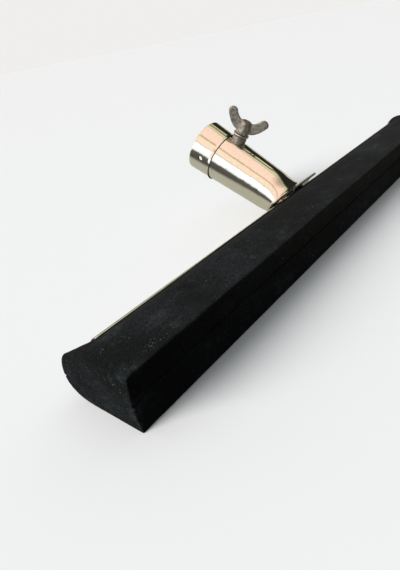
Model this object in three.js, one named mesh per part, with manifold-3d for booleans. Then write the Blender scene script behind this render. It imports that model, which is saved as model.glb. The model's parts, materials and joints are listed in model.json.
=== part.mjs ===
// Double-blade foam squeegee head with a clamped handle socket.
//
// Millimetres, +Z up. X runs along the head, +Y points towards the handle. The origin is the middle
// of the flat underside of the lower blade, which is the face that the head lies on.
//
// Two foam blades lie back to back in a half-round steel rail. The tapered handle socket, rolled from
// sheet with an open seam near its top, stands on the back of the rail on a saddle foot with two
// rivets. A ring round its mouth holds the seam shut. Behind the ring, a wing screw with a captive
// washer runs through a cast boss and clamps the handle.

import * as THREE from "three";
import { mergeVertices } from "three/addons/utils/BufferGeometryUtils.js";
import Module from "manifold-3d";

const wasm = await Module();
wasm.setup();

// ---------------------------------------------------------------- driving dimensions

const GAP = 0.3; // clearance between pieces that touch

// Foam blades
const BLADE_LENGTH = 350;
const BLADE_THICK = 12; // each of the two
const BLADE_FLAT = 20.5; // depth of the flat outer face
const BLADE_SHOULDER = 11; // depth of the rounded shoulder between the flat and the rail lip
const BLADE_RAKE = 2.2; // how far each front face falls back from its wiping edge to the split
const SHOULDER_EASE = 1 / 3; // share of the shoulder's depth over which it turns down at the lip

// Rail
const RAIL_LENGTH = 325;
const RAIL_INNER_R = 8.6;
const RAIL_SHEET = 0.8;
const RAIL_HALF_ANGLE = 70; // degrees from the middle of the back round to each lip

// Handle socket
const SOCKET_TILT = 30.5; // degrees that the handle rises from the plane of the blades
const SOCKET_DROP = 1.05; // how far below the split the axis meets the back of the rail
const SOCKET_LENGTH = 70.6; // from the back of the rail to the mouth, along the axis
const SOCKET_MOUTH_R = 15;
const SOCKET_THROAT_R = 12.1; // at the narrow end, where the foot starts to flare
const SOCKET_THROAT_AT = 19; // distance of the throat from the back of the rail
const SOCKET_WALL = 1.2;
const SEAM_WIDTH = 0.6; // the open joint of the rolled sheet
const SEAM_TURN = 6; // degrees from the top of the tube round to its -X side
const FIXING_HOLE_R = 1.5; // cross hole for a nail or screw into the handle

// Saddle foot
const FOOT_HALF_WIDTH = 25;
const FOOT_HALF_ANGLE = 72; // degrees that the saddle wraps round the back of the rail
const FOOT_SHEET = 1.2;
const FOOT_CORNER_R = 4;
const FLARE_HALF_WIDTH = 17.5;
const FLARE_HALF_ANGLE = 64;
const FLARE_POWER = 2; // higher keeps the tube round for longer before it spreads
const FLARE_SQUARENESS = 2.6; // 2 makes the foot of the flare an ellipse, higher fills its corners

// Rivets
const RIVET_AT_X = 21;
const RIVET_R = 1.6;
const RIVET_HEAD_R = 2.9;
const RIVET_HEAD_H = 1.5;
const RIVET_CLINCH_R = 2.4;
const RIVET_CLINCH_H = 0.8;

// Mouth ring
const RING_WIDTH = 15.5;
const RING_SHEET = 0.8;

// Screw boss
const BOSS_R = 4.5;
const BOSS_HEIGHT = 4.4; // above the outside of the tube
const BOSS_EDGE = 1.4; // radius of the rounded upper edge
const BOSS_BEHIND_RING = 0.4; // space between the boss and the ring
const BOSS_TURN = 11; // degrees from the top of the tube round to its +X side

// Wing screw
const SCREW_R = 2.5;
const SCREW_REACH = 2; // how far the tip stands into the bore when the screw is home
const SCREW_TIP = 0.8; // chamfer of the tip
const SCREW_IN_HEAD = 6; // length of the stud that is set into the cast wings
const WASHER_R = 5;
const WASHER_THICK = 1;
const HUB_R = 4.3;
const HUB_TOP_R = 3.5;
const HUB_HEIGHT = 8;
const WING_REACH = 13.5; // from the screw's axis to the tip of a wing
const WING_RISE = 13; // from the bottom of the hub to the top of a wing
const WING_TIP_R = 3;
const WING_THICK = 2.4;
const WING_TURN = 20; // degrees between the wings and the handle's axis at rest
const WING_ROOT_UP = 1; // from each end of the hub to the roots of the wings
const WING_ROOT_IN = 0.4; // depth that the roots are set into the hub
const WING_TIP_TURN = 162; // degrees of arc round each tip
const WING_BELLY = [5, 1.4]; // out from the hub and up from the root, steers the lower edge
const WING_WAIST = [2, 1]; // the same for the upper edge
const HUB_SKIRT = 1.5; // height of the straight foot of the hub

// ---------------------------------------------------------------- places worked out from them

const MID_Z = BLADE_THICK + GAP / 2;
const TOP_Z = 2 * MID_Z;
const LIP_Y = BLADE_FLAT / 2 + BLADE_SHOULDER;
const ARC_Y = LIP_Y - RAIL_INNER_R * Math.cos(radians(RAIL_HALF_ANGLE));
const RAIL_OUTER_R = RAIL_INNER_R + RAIL_SHEET;
const RAIL_BACK_Y = ARC_Y + RAIL_OUTER_R;
const SADDLE_INNER_R = RAIL_OUTER_R + GAP;
const SADDLE_OUTER_R = SADDLE_INNER_R + FOOT_SHEET;
const TAPER = (SOCKET_MOUTH_R - SOCKET_THROAT_R) / (SOCKET_LENGTH - SOCKET_THROAT_AT);
const RING_LOW = SOCKET_LENGTH - RING_WIDTH;
const BOSS_AT = RING_LOW - BOSS_BEHIND_RING - BOSS_R;
const BOSS_TOP = tubeRadius(BOSS_AT) + BOSS_HEIGHT;
const WASHER_LOW = BOSS_TOP + GAP;
const HUB_LOW = WASHER_LOW + WASHER_THICK + GAP;
const SCREW_LOW = tubeRadius(BOSS_AT) - SOCKET_WALL - SCREW_REACH;

const ROUND = 48; // facets round a full circle
const DOME_STEPS = 4; // facets of each rounded edge
const FLARE_STEPS = 12;
const PAST = 1; // how far a cut runs past what it cuts
const WELD_WITHIN = 1e-4; // points closer than this are one point

function radians(degrees) {
  return (degrees * Math.PI) / 180;
}

// Outside radius of the socket's tapered tube, at a distance along its axis from the rail.
function tubeRadius(along) {
  return SOCKET_THROAT_R + TAPER * (along - SOCKET_THROAT_AT);
}

// ---------------------------------------------------------------- frames

// The socket's frame: X as the part's, Y along the handle's axis towards the mouth, Z square to both.
// Its origin is where the handle's axis meets the back of the rail.
const socketFrame = new THREE.Group();
socketFrame.position.set(0, RAIL_BACK_Y, MID_Z - SOCKET_DROP);
socketFrame.rotation.x = radians(SOCKET_TILT);
socketFrame.updateMatrix();
const INTO_SOCKET = socketFrame.matrix.clone().invert();

// The wing screw's frame, inside the socket's: its Y is the screw's axis, outwards from the tube.
const screwFrame = new THREE.Group();
screwFrame.position.set(0, BOSS_AT, 0);
screwFrame.rotation.set(Math.PI / 2, radians(BOSS_TURN), 0, "YXZ");
screwFrame.updateMatrix();
socketFrame.add(screwFrame);

// ---------------------------------------------------------------- solids

function solidOf(geometry) {
  const bare = geometry.clone();
  bare.deleteAttribute("normal");
  bare.deleteAttribute("uv");
  const merged = mergeVertices(bare, WELD_WITHIN);
  const mesh = new wasm.Mesh({
    numProp: 3,
    vertProperties: merged.attributes.position.array,
    triVerts: new Uint32Array(merged.index.array),
  });
  return new wasm.Manifold(mesh);
}

function geometryOf(solid) {
  const made = solid.getMesh();
  const geometry = new THREE.BufferGeometry();
  geometry.setAttribute("position", new THREE.BufferAttribute(made.vertProperties, made.numProp));
  geometry.setIndex(new THREE.BufferAttribute(made.triVerts, 1));
  geometry.computeVertexNormals();
  return geometry;
}

function addPiece(parent, name, solid, material) {
  const mesh = new THREE.Mesh(geometryOf(solid), material);
  mesh.name = name;
  parent.add(mesh);
}

// Extrudes an outline drawn in the YZ plane along X, centred on x = 0.
function alongX(outline, length) {
  const geometry = new THREE.ExtrudeGeometry(outline, {
    depth: length,
    bevelEnabled: false,
    curveSegments: 16,
  });
  const turn = new THREE.Matrix4().makeBasis(
    new THREE.Vector3(0, 1, 0),
    new THREE.Vector3(0, 0, 1),
    new THREE.Vector3(1, 0, 0),
  );
  geometry.applyMatrix4(turn);
  geometry.translate(-length / 2, 0, 0);
  return geometry;
}

// Turns a profile of [radius, height] points about the Y axis.
function turned(profile, segments = ROUND / 2) {
  const points = profile.map(([radius, height]) => new THREE.Vector2(radius, height));
  return new THREE.LatheGeometry(points, segments);
}

function cylinderX(radius, from, to, segments) {
  const geometry = cylinderY(radius, from, to, segments);
  geometry.rotateZ(-Math.PI / 2);
  return geometry;
}

function cylinderY(radius, from, to, segments = ROUND / 2) {
  const geometry = new THREE.CylinderGeometry(radius, radius, to - from, segments);
  geometry.translate(0, (from + to) / 2, 0);
  return geometry;
}

function box(x0, x1, y0, y1, z0, z1) {
  const geometry = new THREE.BoxGeometry(x1 - x0, y1 - y0, z1 - z0);
  geometry.translate((x0 + x1) / 2, (y0 + y1) / 2, (z0 + z1) / 2);
  return geometry;
}

// A sector of a round sheet about the rail's axis, drawn in the YZ plane.
function sheetSector(innerRadius, outerRadius, halfAngle) {
  const outline = new THREE.Shape();
  outline.absarc(ARC_Y, MID_Z, outerRadius, -halfAngle, halfAngle, false);
  outline.absarc(ARC_Y, MID_Z, innerRadius, halfAngle, -halfAngle, true);
  outline.closePath();
  return outline;
}

// ---------------------------------------------------------------- rail and rivets

function rivetHoles(radius) {
  const holes = [-RIVET_AT_X, RIVET_AT_X].map((x) => {
    const hole = cylinderY(radius, ARC_Y, ARC_Y + SADDLE_OUTER_R + PAST);
    hole.translate(x, 0, MID_Z);
    return solidOf(hole);
  });
  return holes[0].add(holes[1]);
}

function backRail() {
  const outline = sheetSector(RAIL_INNER_R, RAIL_OUTER_R, radians(RAIL_HALF_ANGLE));
  const rail = solidOf(alongX(outline, RAIL_LENGTH));
  return rail.subtract(rivetHoles(RIVET_R + GAP));
}

// One rivet, with its domed head outside the saddle and its clinched end inside the rail.
function saddleRivet(x) {
  const clinchTo = RAIL_INNER_R - GAP;
  const headFrom = SADDLE_OUTER_R + GAP;
  const dome = [];
  for (let step = 0; step < DOME_STEPS; step++) {
    const angle = (step / DOME_STEPS) * (Math.PI / 2);
    dome.push([RIVET_HEAD_R * Math.cos(angle), headFrom + RIVET_HEAD_H * Math.sin(angle)]);
  }
  const profile = [
    [0, clinchTo - RIVET_CLINCH_H],
    [RIVET_CLINCH_R, clinchTo - RIVET_CLINCH_H],
    [RIVET_CLINCH_R, clinchTo],
    [RIVET_R, clinchTo],
    [RIVET_R, headFrom],
    ...dome,
    [0, headFrom + RIVET_HEAD_H],
  ];
  const geometry = turned(profile);
  geometry.translate(x, ARC_Y, MID_Z);
  return solidOf(geometry);
}

// ---------------------------------------------------------------- foam blades

// The upper blade's section. It bears on the inside of the rail behind the lip, and its front face
// falls back from the wiping edge to the split.
function bladeOutline() {
  const radius = RAIL_INNER_R - GAP;
  const lipAngle = radians(RAIL_HALF_ANGLE);
  const splitAngle = Math.asin(GAP / 2 / radius);
  const lipZ = MID_Z + radius * Math.sin(lipAngle);
  const outline = new THREE.Shape();
  outline.moveTo(-BLADE_FLAT / 2 + BLADE_RAKE, MID_Z + GAP / 2);
  outline.lineTo(ARC_Y + radius * Math.cos(splitAngle), MID_Z + GAP / 2);
  outline.absarc(ARC_Y, MID_Z, radius, splitAngle, lipAngle, false);
  outline.quadraticCurveTo(LIP_Y - BLADE_SHOULDER * SHOULDER_EASE, TOP_Z, BLADE_FLAT / 2, TOP_Z);
  outline.lineTo(-BLADE_FLAT / 2, TOP_Z);
  outline.closePath();
  return outline;
}

// The blades press flat round the clinched ends of the rivets, which takes a shallow pocket in each.
function rivetPockets() {
  const pockets = [-RIVET_AT_X, RIVET_AT_X].map((x) => {
    const floor = ARC_Y + RAIL_INNER_R - 2 * GAP - RIVET_CLINCH_H;
    const pocket = cylinderY(RIVET_CLINCH_R + GAP, floor, RAIL_BACK_Y);
    pocket.translate(x, 0, MID_Z);
    return solidOf(pocket);
  });
  return pockets[0].add(pockets[1]);
}

function foamBlade(upper) {
  const geometry = alongX(bladeOutline(), BLADE_LENGTH);
  if (!upper) {
    geometry.translate(0, 0, -MID_Z);
    geometry.rotateY(Math.PI);
    geometry.translate(0, 0, MID_Z);
  }
  return solidOf(geometry).subtract(rivetPockets());
}

// ---------------------------------------------------------------- handle socket

// A point of the foot's outline on a round sheet about the rail's axis, in the socket's frame.
function footPoint(turn, halfWidth, halfAngle, radius) {
  const across = Math.sign(Math.cos(turn)) * Math.abs(Math.cos(turn)) ** (2 / FLARE_SQUARENESS);
  const around = Math.sign(Math.sin(turn)) * Math.abs(Math.sin(turn)) ** (2 / FLARE_SQUARENESS);
  const angle = halfAngle * around;
  const y = ARC_Y + radius * Math.cos(angle);
  const z = MID_Z + radius * Math.sin(angle);
  const point = new THREE.Vector3(halfWidth * across, y, z);
  return point.applyMatrix4(INTO_SOCKET);
}

// One ring of the socket's skin. spread is 0 where the tube is round and 1 on the saddle.
function skinRing(along, spread, inset, footRadius) {
  const radius = tubeRadius(Math.max(along, SOCKET_THROAT_AT)) - inset;
  const halfAngle = radians(FLARE_HALF_ANGLE) - inset / footRadius;
  const ring = [];
  for (let i = 0; i < ROUND; i++) {
    const turn = (2 * Math.PI * i) / ROUND;
    const onTube = new THREE.Vector3(radius * Math.cos(turn), along, radius * Math.sin(turn));
    const onFoot = footPoint(turn, FLARE_HALF_WIDTH - inset, halfAngle, footRadius);
    ring.push(onTube.lerp(onFoot, spread));
  }
  return ring;
}

// Closes a stack of rings, from the mouth to the foot, into one skin with both ends capped.
function loft(rings) {
  const points = rings.flat();
  const count = rings[0].length;
  const faces = [];
  for (let row = 0; row + 1 < rings.length; row++) {
    for (let i = 0; i < count; i++) {
      const a = row * count + i;
      const b = row * count + ((i + 1) % count);
      faces.push(a, b, a + count, b, b + count, a + count);
    }
  }
  [0, rings.length - 1].forEach((row) => {
    const middle = new THREE.Vector3();
    rings[row].forEach((point) => middle.addScaledVector(point, 1 / count));
    const hub = points.push(middle) - 1;
    for (let i = 0; i < count; i++) {
      const a = row * count + i;
      const b = row * count + ((i + 1) % count);
      faces.push(...(row === 0 ? [hub, b, a] : [hub, a, b]));
    }
  });
  const geometry = new THREE.BufferGeometry().setFromPoints(points);
  geometry.setIndex(faces);
  return geometry;
}

function socketSkin(inset, footRadius, mouthAt) {
  const rings = [skinRing(mouthAt, 0, inset, footRadius)];
  for (let step = 0; step <= FLARE_STEPS; step++) {
    const share = step / FLARE_STEPS;
    const along = SOCKET_THROAT_AT * (1 - share);
    rings.push(skinRing(along, share ** FLARE_POWER, inset, footRadius));
  }
  return solidOf(loft(rings));
}

// The saddle plate, a sheet bent round the back of the rail, with its corners rounded. It is drawn
// thick inside, and the room for the rail is cut out of it later.
function saddlePlate() {
  const sector = sheetSector(RAIL_INNER_R, SADDLE_OUTER_R, radians(FOOT_HALF_ANGLE));
  const sheet = solidOf(alongX(sector, 2 * FOOT_HALF_WIDTH));
  const halfHeight = SADDLE_OUTER_R * Math.sin(radians(FOOT_HALF_ANGLE));
  const outline = roundedRectangle(FOOT_HALF_WIDTH, halfHeight, FOOT_CORNER_R);
  const cutter = new THREE.ExtrudeGeometry(outline, {
    depth: 2 * SADDLE_OUTER_R,
    bevelEnabled: false,
    curveSegments: 6,
  });
  cutter.rotateX(Math.PI / 2);
  cutter.translate(0, ARC_Y + 2 * SADDLE_OUTER_R, MID_Z);
  return sheet.intersect(solidOf(cutter));
}

function roundedRectangle(halfWidth, halfHeight, corner) {
  const outline = new THREE.Shape();
  const x = halfWidth - corner;
  const y = halfHeight - corner;
  outline.absarc(x, y, corner, 0, Math.PI / 2, false);
  outline.absarc(-x, y, corner, Math.PI / 2, Math.PI, false);
  outline.absarc(-x, -y, corner, Math.PI, 1.5 * Math.PI, false);
  outline.absarc(x, -y, corner, 1.5 * Math.PI, 2 * Math.PI, false);
  outline.closePath();
  return outline;
}

// The open joint of the rolled sheet runs along the tube from the mouth to the throat.
function openSeam() {
  const half = SEAM_WIDTH / 2;
  const slot = box(-half, half, SOCKET_THROAT_AT, SOCKET_LENGTH + PAST, 0, 2 * SOCKET_MOUTH_R);
  slot.rotateY(-radians(SEAM_TURN));
  return solidOf(slot);
}

// The screw's hole, in the socket's frame.
function screwHole() {
  const hole = cylinderY(SCREW_R + GAP, 0, BOSS_TOP + PAST);
  return solidOf(hole.applyMatrix4(screwFrame.matrix));
}

function fixingHole() {
  const reach = 2 * SOCKET_MOUTH_R;
  const hole = cylinderX(FIXING_HOLE_R, -reach, reach, ROUND / 2);
  hole.translate(0, SOCKET_LENGTH - RING_WIDTH / 2, 0);
  return solidOf(hole);
}

function handleSocket() {
  const skin = socketSkin(0, SADDLE_OUTER_R - FOOT_SHEET / 2, SOCKET_LENGTH);
  const bore = socketSkin(SOCKET_WALL, RAIL_INNER_R, SOCKET_LENGTH + PAST);
  const plate = saddlePlate().transform(INTO_SOCKET.toArray());
  const railRoom = cylinderX(SADDLE_INNER_R, -RAIL_LENGTH, RAIL_LENGTH, 2 * ROUND);
  railRoom.translate(0, ARC_Y, MID_Z);
  railRoom.applyMatrix4(INTO_SOCKET);
  const holes = rivetHoles(RIVET_R + GAP).transform(INTO_SOCKET.toArray());
  return skin
    .add(plate)
    .subtract(bore)
    .subtract(solidOf(railRoom))
    .subtract(holes)
    .subtract(openSeam())
    .subtract(screwHole())
    .subtract(fixingHole());
}

// ---------------------------------------------------------------- mouth ring and screw boss

// A length of the tube's taper, grown outwards by an offset.
function cone(offset, from, to) {
  const low = tubeRadius(from) + offset;
  const high = tubeRadius(to) + offset;
  const geometry = new THREE.CylinderGeometry(high, low, to - from, 2 * ROUND);
  geometry.translate(0, (from + to) / 2, 0);
  return solidOf(geometry);
}

function mouthRing() {
  const band = cone(GAP + RING_SHEET, RING_LOW, SOCKET_LENGTH);
  return band.subtract(cone(GAP, RING_LOW - PAST, SOCKET_LENGTH + PAST)).subtract(fixingHole());
}

// A round cast boss, hollowed underneath to lie on the tube.
function screwBoss() {
  const profile = [
    [0, 0],
    [BOSS_R, 0],
  ];
  for (let step = 0; step <= DOME_STEPS; step++) {
    const angle = (step / DOME_STEPS) * (Math.PI / 2);
    const radius = BOSS_R - BOSS_EDGE + BOSS_EDGE * Math.cos(angle);
    profile.push([radius, BOSS_TOP - BOSS_EDGE + BOSS_EDGE * Math.sin(angle)]);
  }
  profile.push([0, BOSS_TOP]);
  const post = turned(profile).applyMatrix4(screwFrame.matrix);
  const tube = cone(GAP, BOSS_AT - 2 * BOSS_R, BOSS_AT + 2 * BOSS_R);
  return solidOf(post).subtract(tube).subtract(screwHole());
}

// ---------------------------------------------------------------- wing screw and washer

// These are drawn about the screw's axis, with heights measured from the handle's axis.

function screwStud() {
  const top = HUB_LOW + SCREW_IN_HEAD;
  return solidOf(
    turned([
      [0, SCREW_LOW],
      [SCREW_R - SCREW_TIP, SCREW_LOW],
      [SCREW_R, SCREW_LOW + SCREW_TIP],
      [SCREW_R, top],
      [0, top],
    ]),
  );
}

function screwWasher() {
  const inner = SCREW_R + GAP;
  const top = WASHER_LOW + WASHER_THICK;
  return solidOf(
    turned([
      [inner, WASHER_LOW],
      [WASHER_R, WASHER_LOW],
      [WASHER_R, top],
      [inner, top],
      [inner, WASHER_LOW],
    ]),
  );
}

// One wing, drawn in the plane of the screw's axis with its reach along X.
function screwWing() {
  const tipX = WING_REACH - WING_TIP_R;
  const tipY = HUB_LOW + WING_RISE - WING_TIP_R;
  const low = HUB_LOW + WING_ROOT_UP;
  const high = HUB_LOW + HUB_HEIGHT - WING_ROOT_UP;
  const [bellyOut, bellyUp] = WING_BELLY;
  const [waistOut, waistUp] = WING_WAIST;
  const outline = new THREE.Shape();
  outline.moveTo(0, low);
  outline.lineTo(HUB_R - WING_ROOT_IN, low);
  outline.quadraticCurveTo(HUB_R + bellyOut, low + bellyUp, WING_REACH, tipY);
  outline.absarc(tipX, tipY, WING_TIP_R, 0, radians(WING_TIP_TURN), false);
  const rootX = HUB_TOP_R - WING_ROOT_IN;
  outline.quadraticCurveTo(HUB_TOP_R + waistOut, high + waistUp, rootX, high);
  outline.lineTo(0, high);
  outline.closePath();
  const geometry = new THREE.ExtrudeGeometry(outline, {
    depth: WING_THICK,
    bevelEnabled: false,
    curveSegments: 8,
  });
  geometry.translate(0, 0, -WING_THICK / 2);
  return geometry;
}

function screwWings() {
  const top = HUB_LOW + HUB_HEIGHT;
  const hub = turned([
    [0, HUB_LOW],
    [HUB_R, HUB_LOW],
    [HUB_R, HUB_LOW + HUB_SKIRT],
    [HUB_TOP_R, top],
    [0, top],
  ]);
  const otherWing = screwWing();
  otherWing.rotateY(Math.PI);
  const socket = cylinderY(SCREW_R + GAP, HUB_LOW - PAST, HUB_LOW + SCREW_IN_HEAD + GAP);
  const wings = solidOf(screwWing()).add(solidOf(otherWing));
  const turn = new THREE.Matrix4().makeRotationY(radians(90 + WING_TURN));
  return solidOf(hub).add(wings).subtract(solidOf(socket)).transform(turn.toArray());
}

// ---------------------------------------------------------------- materials and assembly

function finish(color, roughness, metalness) {
  return new THREE.MeshStandardMaterial({ color, roughness, metalness });
}

const blackFoam = finish(0x17191a, 0.95, 0);
const brightSteel = finish(0xcfc8b8, 0.15, 1);
const zincSteel = finish(0xb9b6ad, 0.35, 1);
const castZinc = finish(0x6f655a, 0.55, 0.9);

const head = new THREE.Group();
head.add(socketFrame);
addPiece(head, "back_rail", backRail(), brightSteel);
addPiece(head, "upper_foam_blade", foamBlade(true), blackFoam);
addPiece(head, "lower_foam_blade", foamBlade(false), blackFoam);
addPiece(socketFrame, "handle_socket", handleSocket(), brightSteel);
addPiece(head, "saddle_rivet_left", saddleRivet(-RIVET_AT_X), zincSteel);
addPiece(head, "saddle_rivet_right", saddleRivet(RIVET_AT_X), zincSteel);
addPiece(socketFrame, "mouth_ring", mouthRing(), brightSteel);
addPiece(socketFrame, "screw_boss", screwBoss(), castZinc);
addPiece(screwFrame, "screw_washer", screwWasher(), zincSteel);
addPiece(screwFrame, "screw_stud", screwStud(), zincSteel);
addPiece(screwFrame, "screw_wings", screwWings(), castZinc);

export default head;
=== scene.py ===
"""The finished surfaces of a double-blade foam squeegee head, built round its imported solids.

Two foam blades sit in a half-round plated rail. A tapered socket, rolled from sheet, stands on a
saddle on the rail's back. It has a ring round its mouth, and a wing screw in a cast boss behind the
ring. Every length is in metres, in the part's own frame.
"""

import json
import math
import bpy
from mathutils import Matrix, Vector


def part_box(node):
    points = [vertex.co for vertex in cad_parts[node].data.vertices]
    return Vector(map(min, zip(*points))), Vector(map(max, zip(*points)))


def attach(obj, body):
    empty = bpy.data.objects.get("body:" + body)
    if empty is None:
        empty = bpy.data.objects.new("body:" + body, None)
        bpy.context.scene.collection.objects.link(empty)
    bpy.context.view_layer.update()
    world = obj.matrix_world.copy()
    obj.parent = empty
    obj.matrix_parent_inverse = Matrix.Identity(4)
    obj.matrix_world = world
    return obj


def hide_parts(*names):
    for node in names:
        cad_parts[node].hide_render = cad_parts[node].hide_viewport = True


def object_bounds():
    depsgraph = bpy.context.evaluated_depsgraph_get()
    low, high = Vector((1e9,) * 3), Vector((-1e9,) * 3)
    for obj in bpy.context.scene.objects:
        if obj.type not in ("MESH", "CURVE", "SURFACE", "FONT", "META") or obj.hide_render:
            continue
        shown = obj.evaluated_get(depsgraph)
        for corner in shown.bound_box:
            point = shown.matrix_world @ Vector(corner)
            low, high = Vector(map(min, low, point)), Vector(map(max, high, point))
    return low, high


bl_info = {
    "name": "Foam squeegee head",
    "version": (1, 0, 0),
    "blender": (4, 5, 0),
    "location": "3D View > Sidebar > Squeegee",
    "description": "Builds the blades, rail, socket and clamp screw of a floor squeegee head",
    "category": "Add Mesh",
}

import bmesh
import bpy
from mathutils import Matrix, Vector, noise

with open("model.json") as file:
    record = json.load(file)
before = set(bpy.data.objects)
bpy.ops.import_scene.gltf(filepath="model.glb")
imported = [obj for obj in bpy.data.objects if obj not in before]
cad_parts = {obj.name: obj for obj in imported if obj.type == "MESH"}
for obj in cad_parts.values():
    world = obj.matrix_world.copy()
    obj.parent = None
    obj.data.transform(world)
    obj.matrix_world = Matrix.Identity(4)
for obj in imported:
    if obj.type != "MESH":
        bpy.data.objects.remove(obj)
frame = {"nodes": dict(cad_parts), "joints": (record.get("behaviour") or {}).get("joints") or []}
CAD_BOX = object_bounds()
MM = 0.001
SHEET_GAP = 0.3 * MM  # between two pieces of sheet that lie one on the other


# ------------------------------------------------------------------ places read from the frame


def node_points(node):
    return [vertex.co for vertex in frame["nodes"][node].data.vertices]


def span(node, origin, axis):
    """The lowest and highest place of a node along an axis, measured from origin."""
    along = [(point - origin).dot(axis) for point in node_points(node)]
    return min(along), max(along)


def reach(node, origin, axis, low=-1.0, high=1.0):
    """The largest distance of a node from an axis, between two places along it."""
    found = 0.0
    for point in node_points(node):
        offset = point - origin
        along = offset.dot(axis)
        if low <= along <= high:
            found = max(found, (offset - along * axis).length)
    return found


def joint(name):
    return next(one for one in frame["joints"] if one["name"] == name)


RAIL_LOW, RAIL_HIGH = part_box("back_rail")
UPPER_LOW, UPPER_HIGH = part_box("upper_foam_blade")
LOWER_LOW, LOWER_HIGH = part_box("lower_foam_blade")
MID_Z = (UPPER_LOW.z + LOWER_HIGH.z) / 2

SCREW_AXIS = Vector(joint("screw_turn")["axis"]).normalized()
SCREW_PIVOT = Vector(joint("screw_turn")["pos_m"])
TILT = math.atan2(-SCREW_AXIS.y, SCREW_AXIS.z)
SOCKET_ALONG = Vector((0, math.cos(TILT), math.sin(TILT)))
SOCKET_OUT = Vector((0, -math.sin(TILT), math.cos(TILT)))


# ------------------------------------------------------------------ settings


def length(name, description, default):
    return bpy.props.FloatProperty(
        name=name, description=description, default=default, unit="LENGTH", precision=5
    )


def angle(name, description, degrees):
    return bpy.props.FloatProperty(
        name=name, description=description, default=math.radians(degrees), subtype="ANGLE"
    )


def colour(name, description, default):
    return bpy.props.FloatVectorProperty(
        name=name, description=description, default=default, subtype="COLOR", size=3
    )


class SqueegeeRail(bpy.types.PropertyGroup):
    sheet: length("Sheet", "Thickness of the rail's sheet", 0.8 * MM)
    half_angle: angle("Half angle", "From the middle of the back round to each lip", 70)
    wave: length("Wave", "How far the rolled sheet strays from true", 0.02 * MM)
    tint: colour("Tint", "Colour of the bright plating", (0.80, 0.77, 0.70))


class SqueegeeFoam(bpy.types.PropertyGroup):
    gap: length("Gap", "Clearance between the foam and what holds it", 0.3 * MM)
    rake: length("Rake", "How far each front face falls back to the split", 2.2 * MM)
    flat: length("Flat", "Depth of the flat outer face", 20.5 * MM)
    swell: length("Swell", "How far the foam bulges at its free ends", 3.1 * MM)
    sag: length("Sag", "How far the split sinks at the free ends", 2.2 * MM)
    parting: length("Parting", "How far the split opens at the free ends", 0.8 * MM)
    sag_run: length("Sag run", "Length over which the split sinks", 10 * MM)
    corner: length("Corner", "Radius of the cut edges", 0.45 * MM)
    wobble: length("Wobble", "Height of the slow waves in the cut faces", 0.22 * MM)
    tint: colour("Tint", "Colour of the foam rubber", (0.0078, 0.0094, 0.0098))
    dust: colour("Dust", "Colour of the dust and scuffs on it", (0.105, 0.118, 0.128))


class SqueegeeSocket(bpy.types.PropertyGroup):
    drop: length("Drop", "How far below the split the handle's axis meets the rail", 1.05 * MM)
    wall: length("Wall", "Thickness of the socket's sheet", 1.2 * MM)
    throat_at: length("Throat place", "Where the tube starts to flare", 19 * MM)
    throat_radius: length("Throat radius", "Outside radius of the tube there", 12.1 * MM)
    seam_turn: angle("Seam turn", "From the top of the tube to its open joint", 6)
    seam_width: length("Seam width", "Width of the open joint", 0.6 * MM)
    seam_depth: length("Seam depth", "Depth of the open joint", 0.8 * MM)
    flare_half_width: length("Flare half width", "Of the foot of the flare", 17.5 * MM)
    flare_half_angle: angle("Flare half angle", "Of the foot of the flare round the rail", 64)
    flare_square: bpy.props.FloatProperty(
        name="Flare squareness", description="2 is an ellipse, more fills its corners", default=2.6
    )
    foot_half_width: length("Foot half width", "Of the saddle", 25 * MM)
    foot_half_angle: angle("Foot half angle", "Of the saddle round the rail", 72)
    foot_corner: length("Foot corner", "Radius of the saddle's corners", 4 * MM)
    hole_radius: length("Hole radius", "Of the cross hole in the ring and the tube", 1.5 * MM)
    ring_lift: length("Ring lift", "How far the ring's rim stands off the tube", 0.85 * MM)
    bead: length("Weld bead", "Size of one drop of the weld along the joint", 1.15 * MM)


class SqueegeeScrew(bpy.types.PropertyGroup):
    radius: length("Stud radius", "Outside radius of the thread", 2.5 * MM)
    pitch: length("Pitch", "Rise of the thread in one turn", 1 * MM)
    thread_depth: length("Thread depth", "Depth of the thread", 0.5 * MM)
    clearance: length("Clearance", "Round the stud in its holes", 0.3 * MM)
    boss_edge: length("Boss edge", "Radius of the boss's upper edge", 1.4 * MM)
    hub_radius: length("Hub radius", "Of the wing head's hub at its foot", 4.3 * MM)
    hub_top_radius: length("Hub top radius", "Of the hub at its top", 3.5 * MM)
    hub_height: length("Hub height", "From its foot to its top", 8 * MM)
    wing_thickness: length("Wing thickness", "Of each wing", 2.4 * MM)
    wing_tip: length("Wing tip", "Radius of the end of each wing", 3 * MM)
    wing_turn: angle("Wing turn", "Between the wings and the handle's axis", 20)
    tint: colour("Tint", "Colour of the casting", (0.37, 0.345, 0.30))


class SqueegeeRivets(bpy.types.PropertyGroup):
    head_radius: length("Head radius", "Of the domed head", 2.9 * MM)
    head_height: length("Head height", "Of the domed head", 1.5 * MM)
    spread: length("Spread", "Distance between the two rivets", 42 * MM)


class SqueegeeStage(bpy.types.PropertyGroup):
    azimuth: angle("Azimuth", "Of the camera, round the part", -46.17)
    elevation: angle("Elevation", "Of the camera, above the floor", 29.13)
    roll: angle("Roll", "Of the camera about its own axis", 11.25)
    distance: length("Distance", "From the camera to the point it looks at", 0.3)
    aim: bpy.props.FloatVectorProperty(
        name="Aim",
        description="The point that the camera looks at",
        default=(-0.04382, 0.07684, -0.03466),
        subtype="TRANSLATION",
    )
    lens: bpy.props.FloatProperty(
        name="Lens", description="Focal length in millimetres", default=27.93, unit="CAMERA"
    )
    floor_tint: colour("Floor", "Colour of the floor", (0.87, 0.86, 0.85))


# ------------------------------------------------------------------ mesh helpers


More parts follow.
